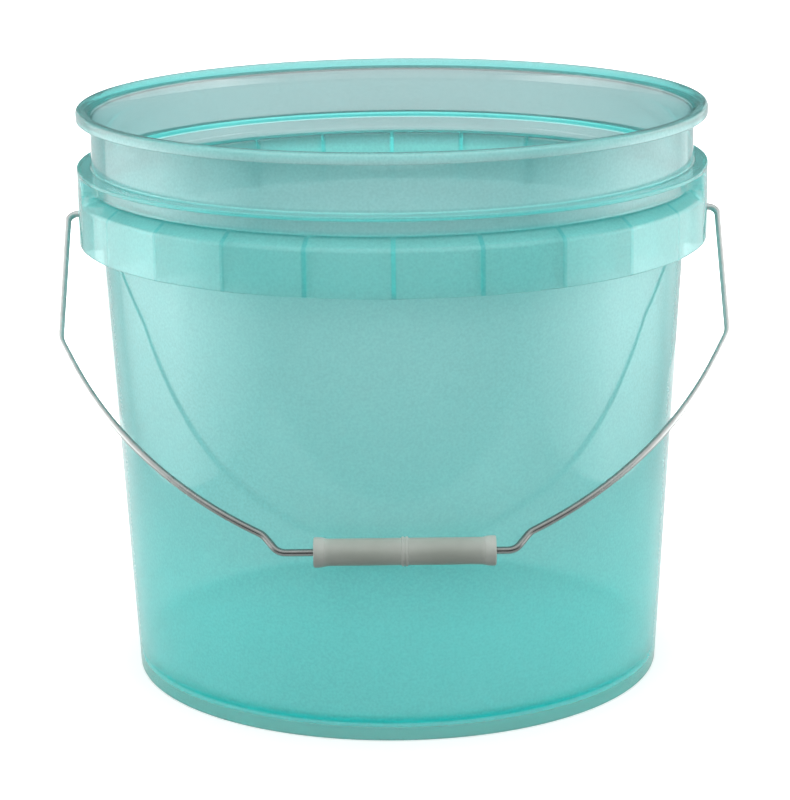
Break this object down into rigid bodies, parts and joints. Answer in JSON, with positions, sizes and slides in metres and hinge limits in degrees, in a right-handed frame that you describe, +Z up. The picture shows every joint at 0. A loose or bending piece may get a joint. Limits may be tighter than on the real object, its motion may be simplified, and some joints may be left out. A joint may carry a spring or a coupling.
{
  "type": "plastic bucket",
  "caption": "Tapered open-head plastic pail with a lip for a lid, a ribbed collar, a swinging wire bail and a turning tube grip.",
  "frame": {"origin": "on the pail's axis at the ground under the foot ring", "axes": "+Z up along the pail's axis, +X through the ears, -Y towards the front where the bail hangs"},
  "size_m": [0.3236, 0.3096, 0.283],
  "materials": {
    "pail_plastic": "translucent teal injection-moulded plastic, glossy",
    "bail_wire": "drawn wire, galvanised",
    "grip_plastic": "off-white moulded plastic, satin"
  },
  "bodies": {
    "pail": {"pail": "pail_plastic"},
    "bail": {"bail": "bail_wire"},
    "grip": {"grip": "grip_plastic"}
  },
  "joints": [
    {"name": "bail_swing", "type": "hinge", "parent": "pail", "child": "bail", "pos_m": [0, 0, 0.22835], "axis": [-1, 0, 0], "range_deg": [0, 264.8]},
    {"name": "grip_turn", "type": "hinge", "parent": "bail", "child": "grip", "pos_m": [0.0037, -0.14361, 0.09702], "axis": [1, 0, 0], "continuous": true}
  ]
}
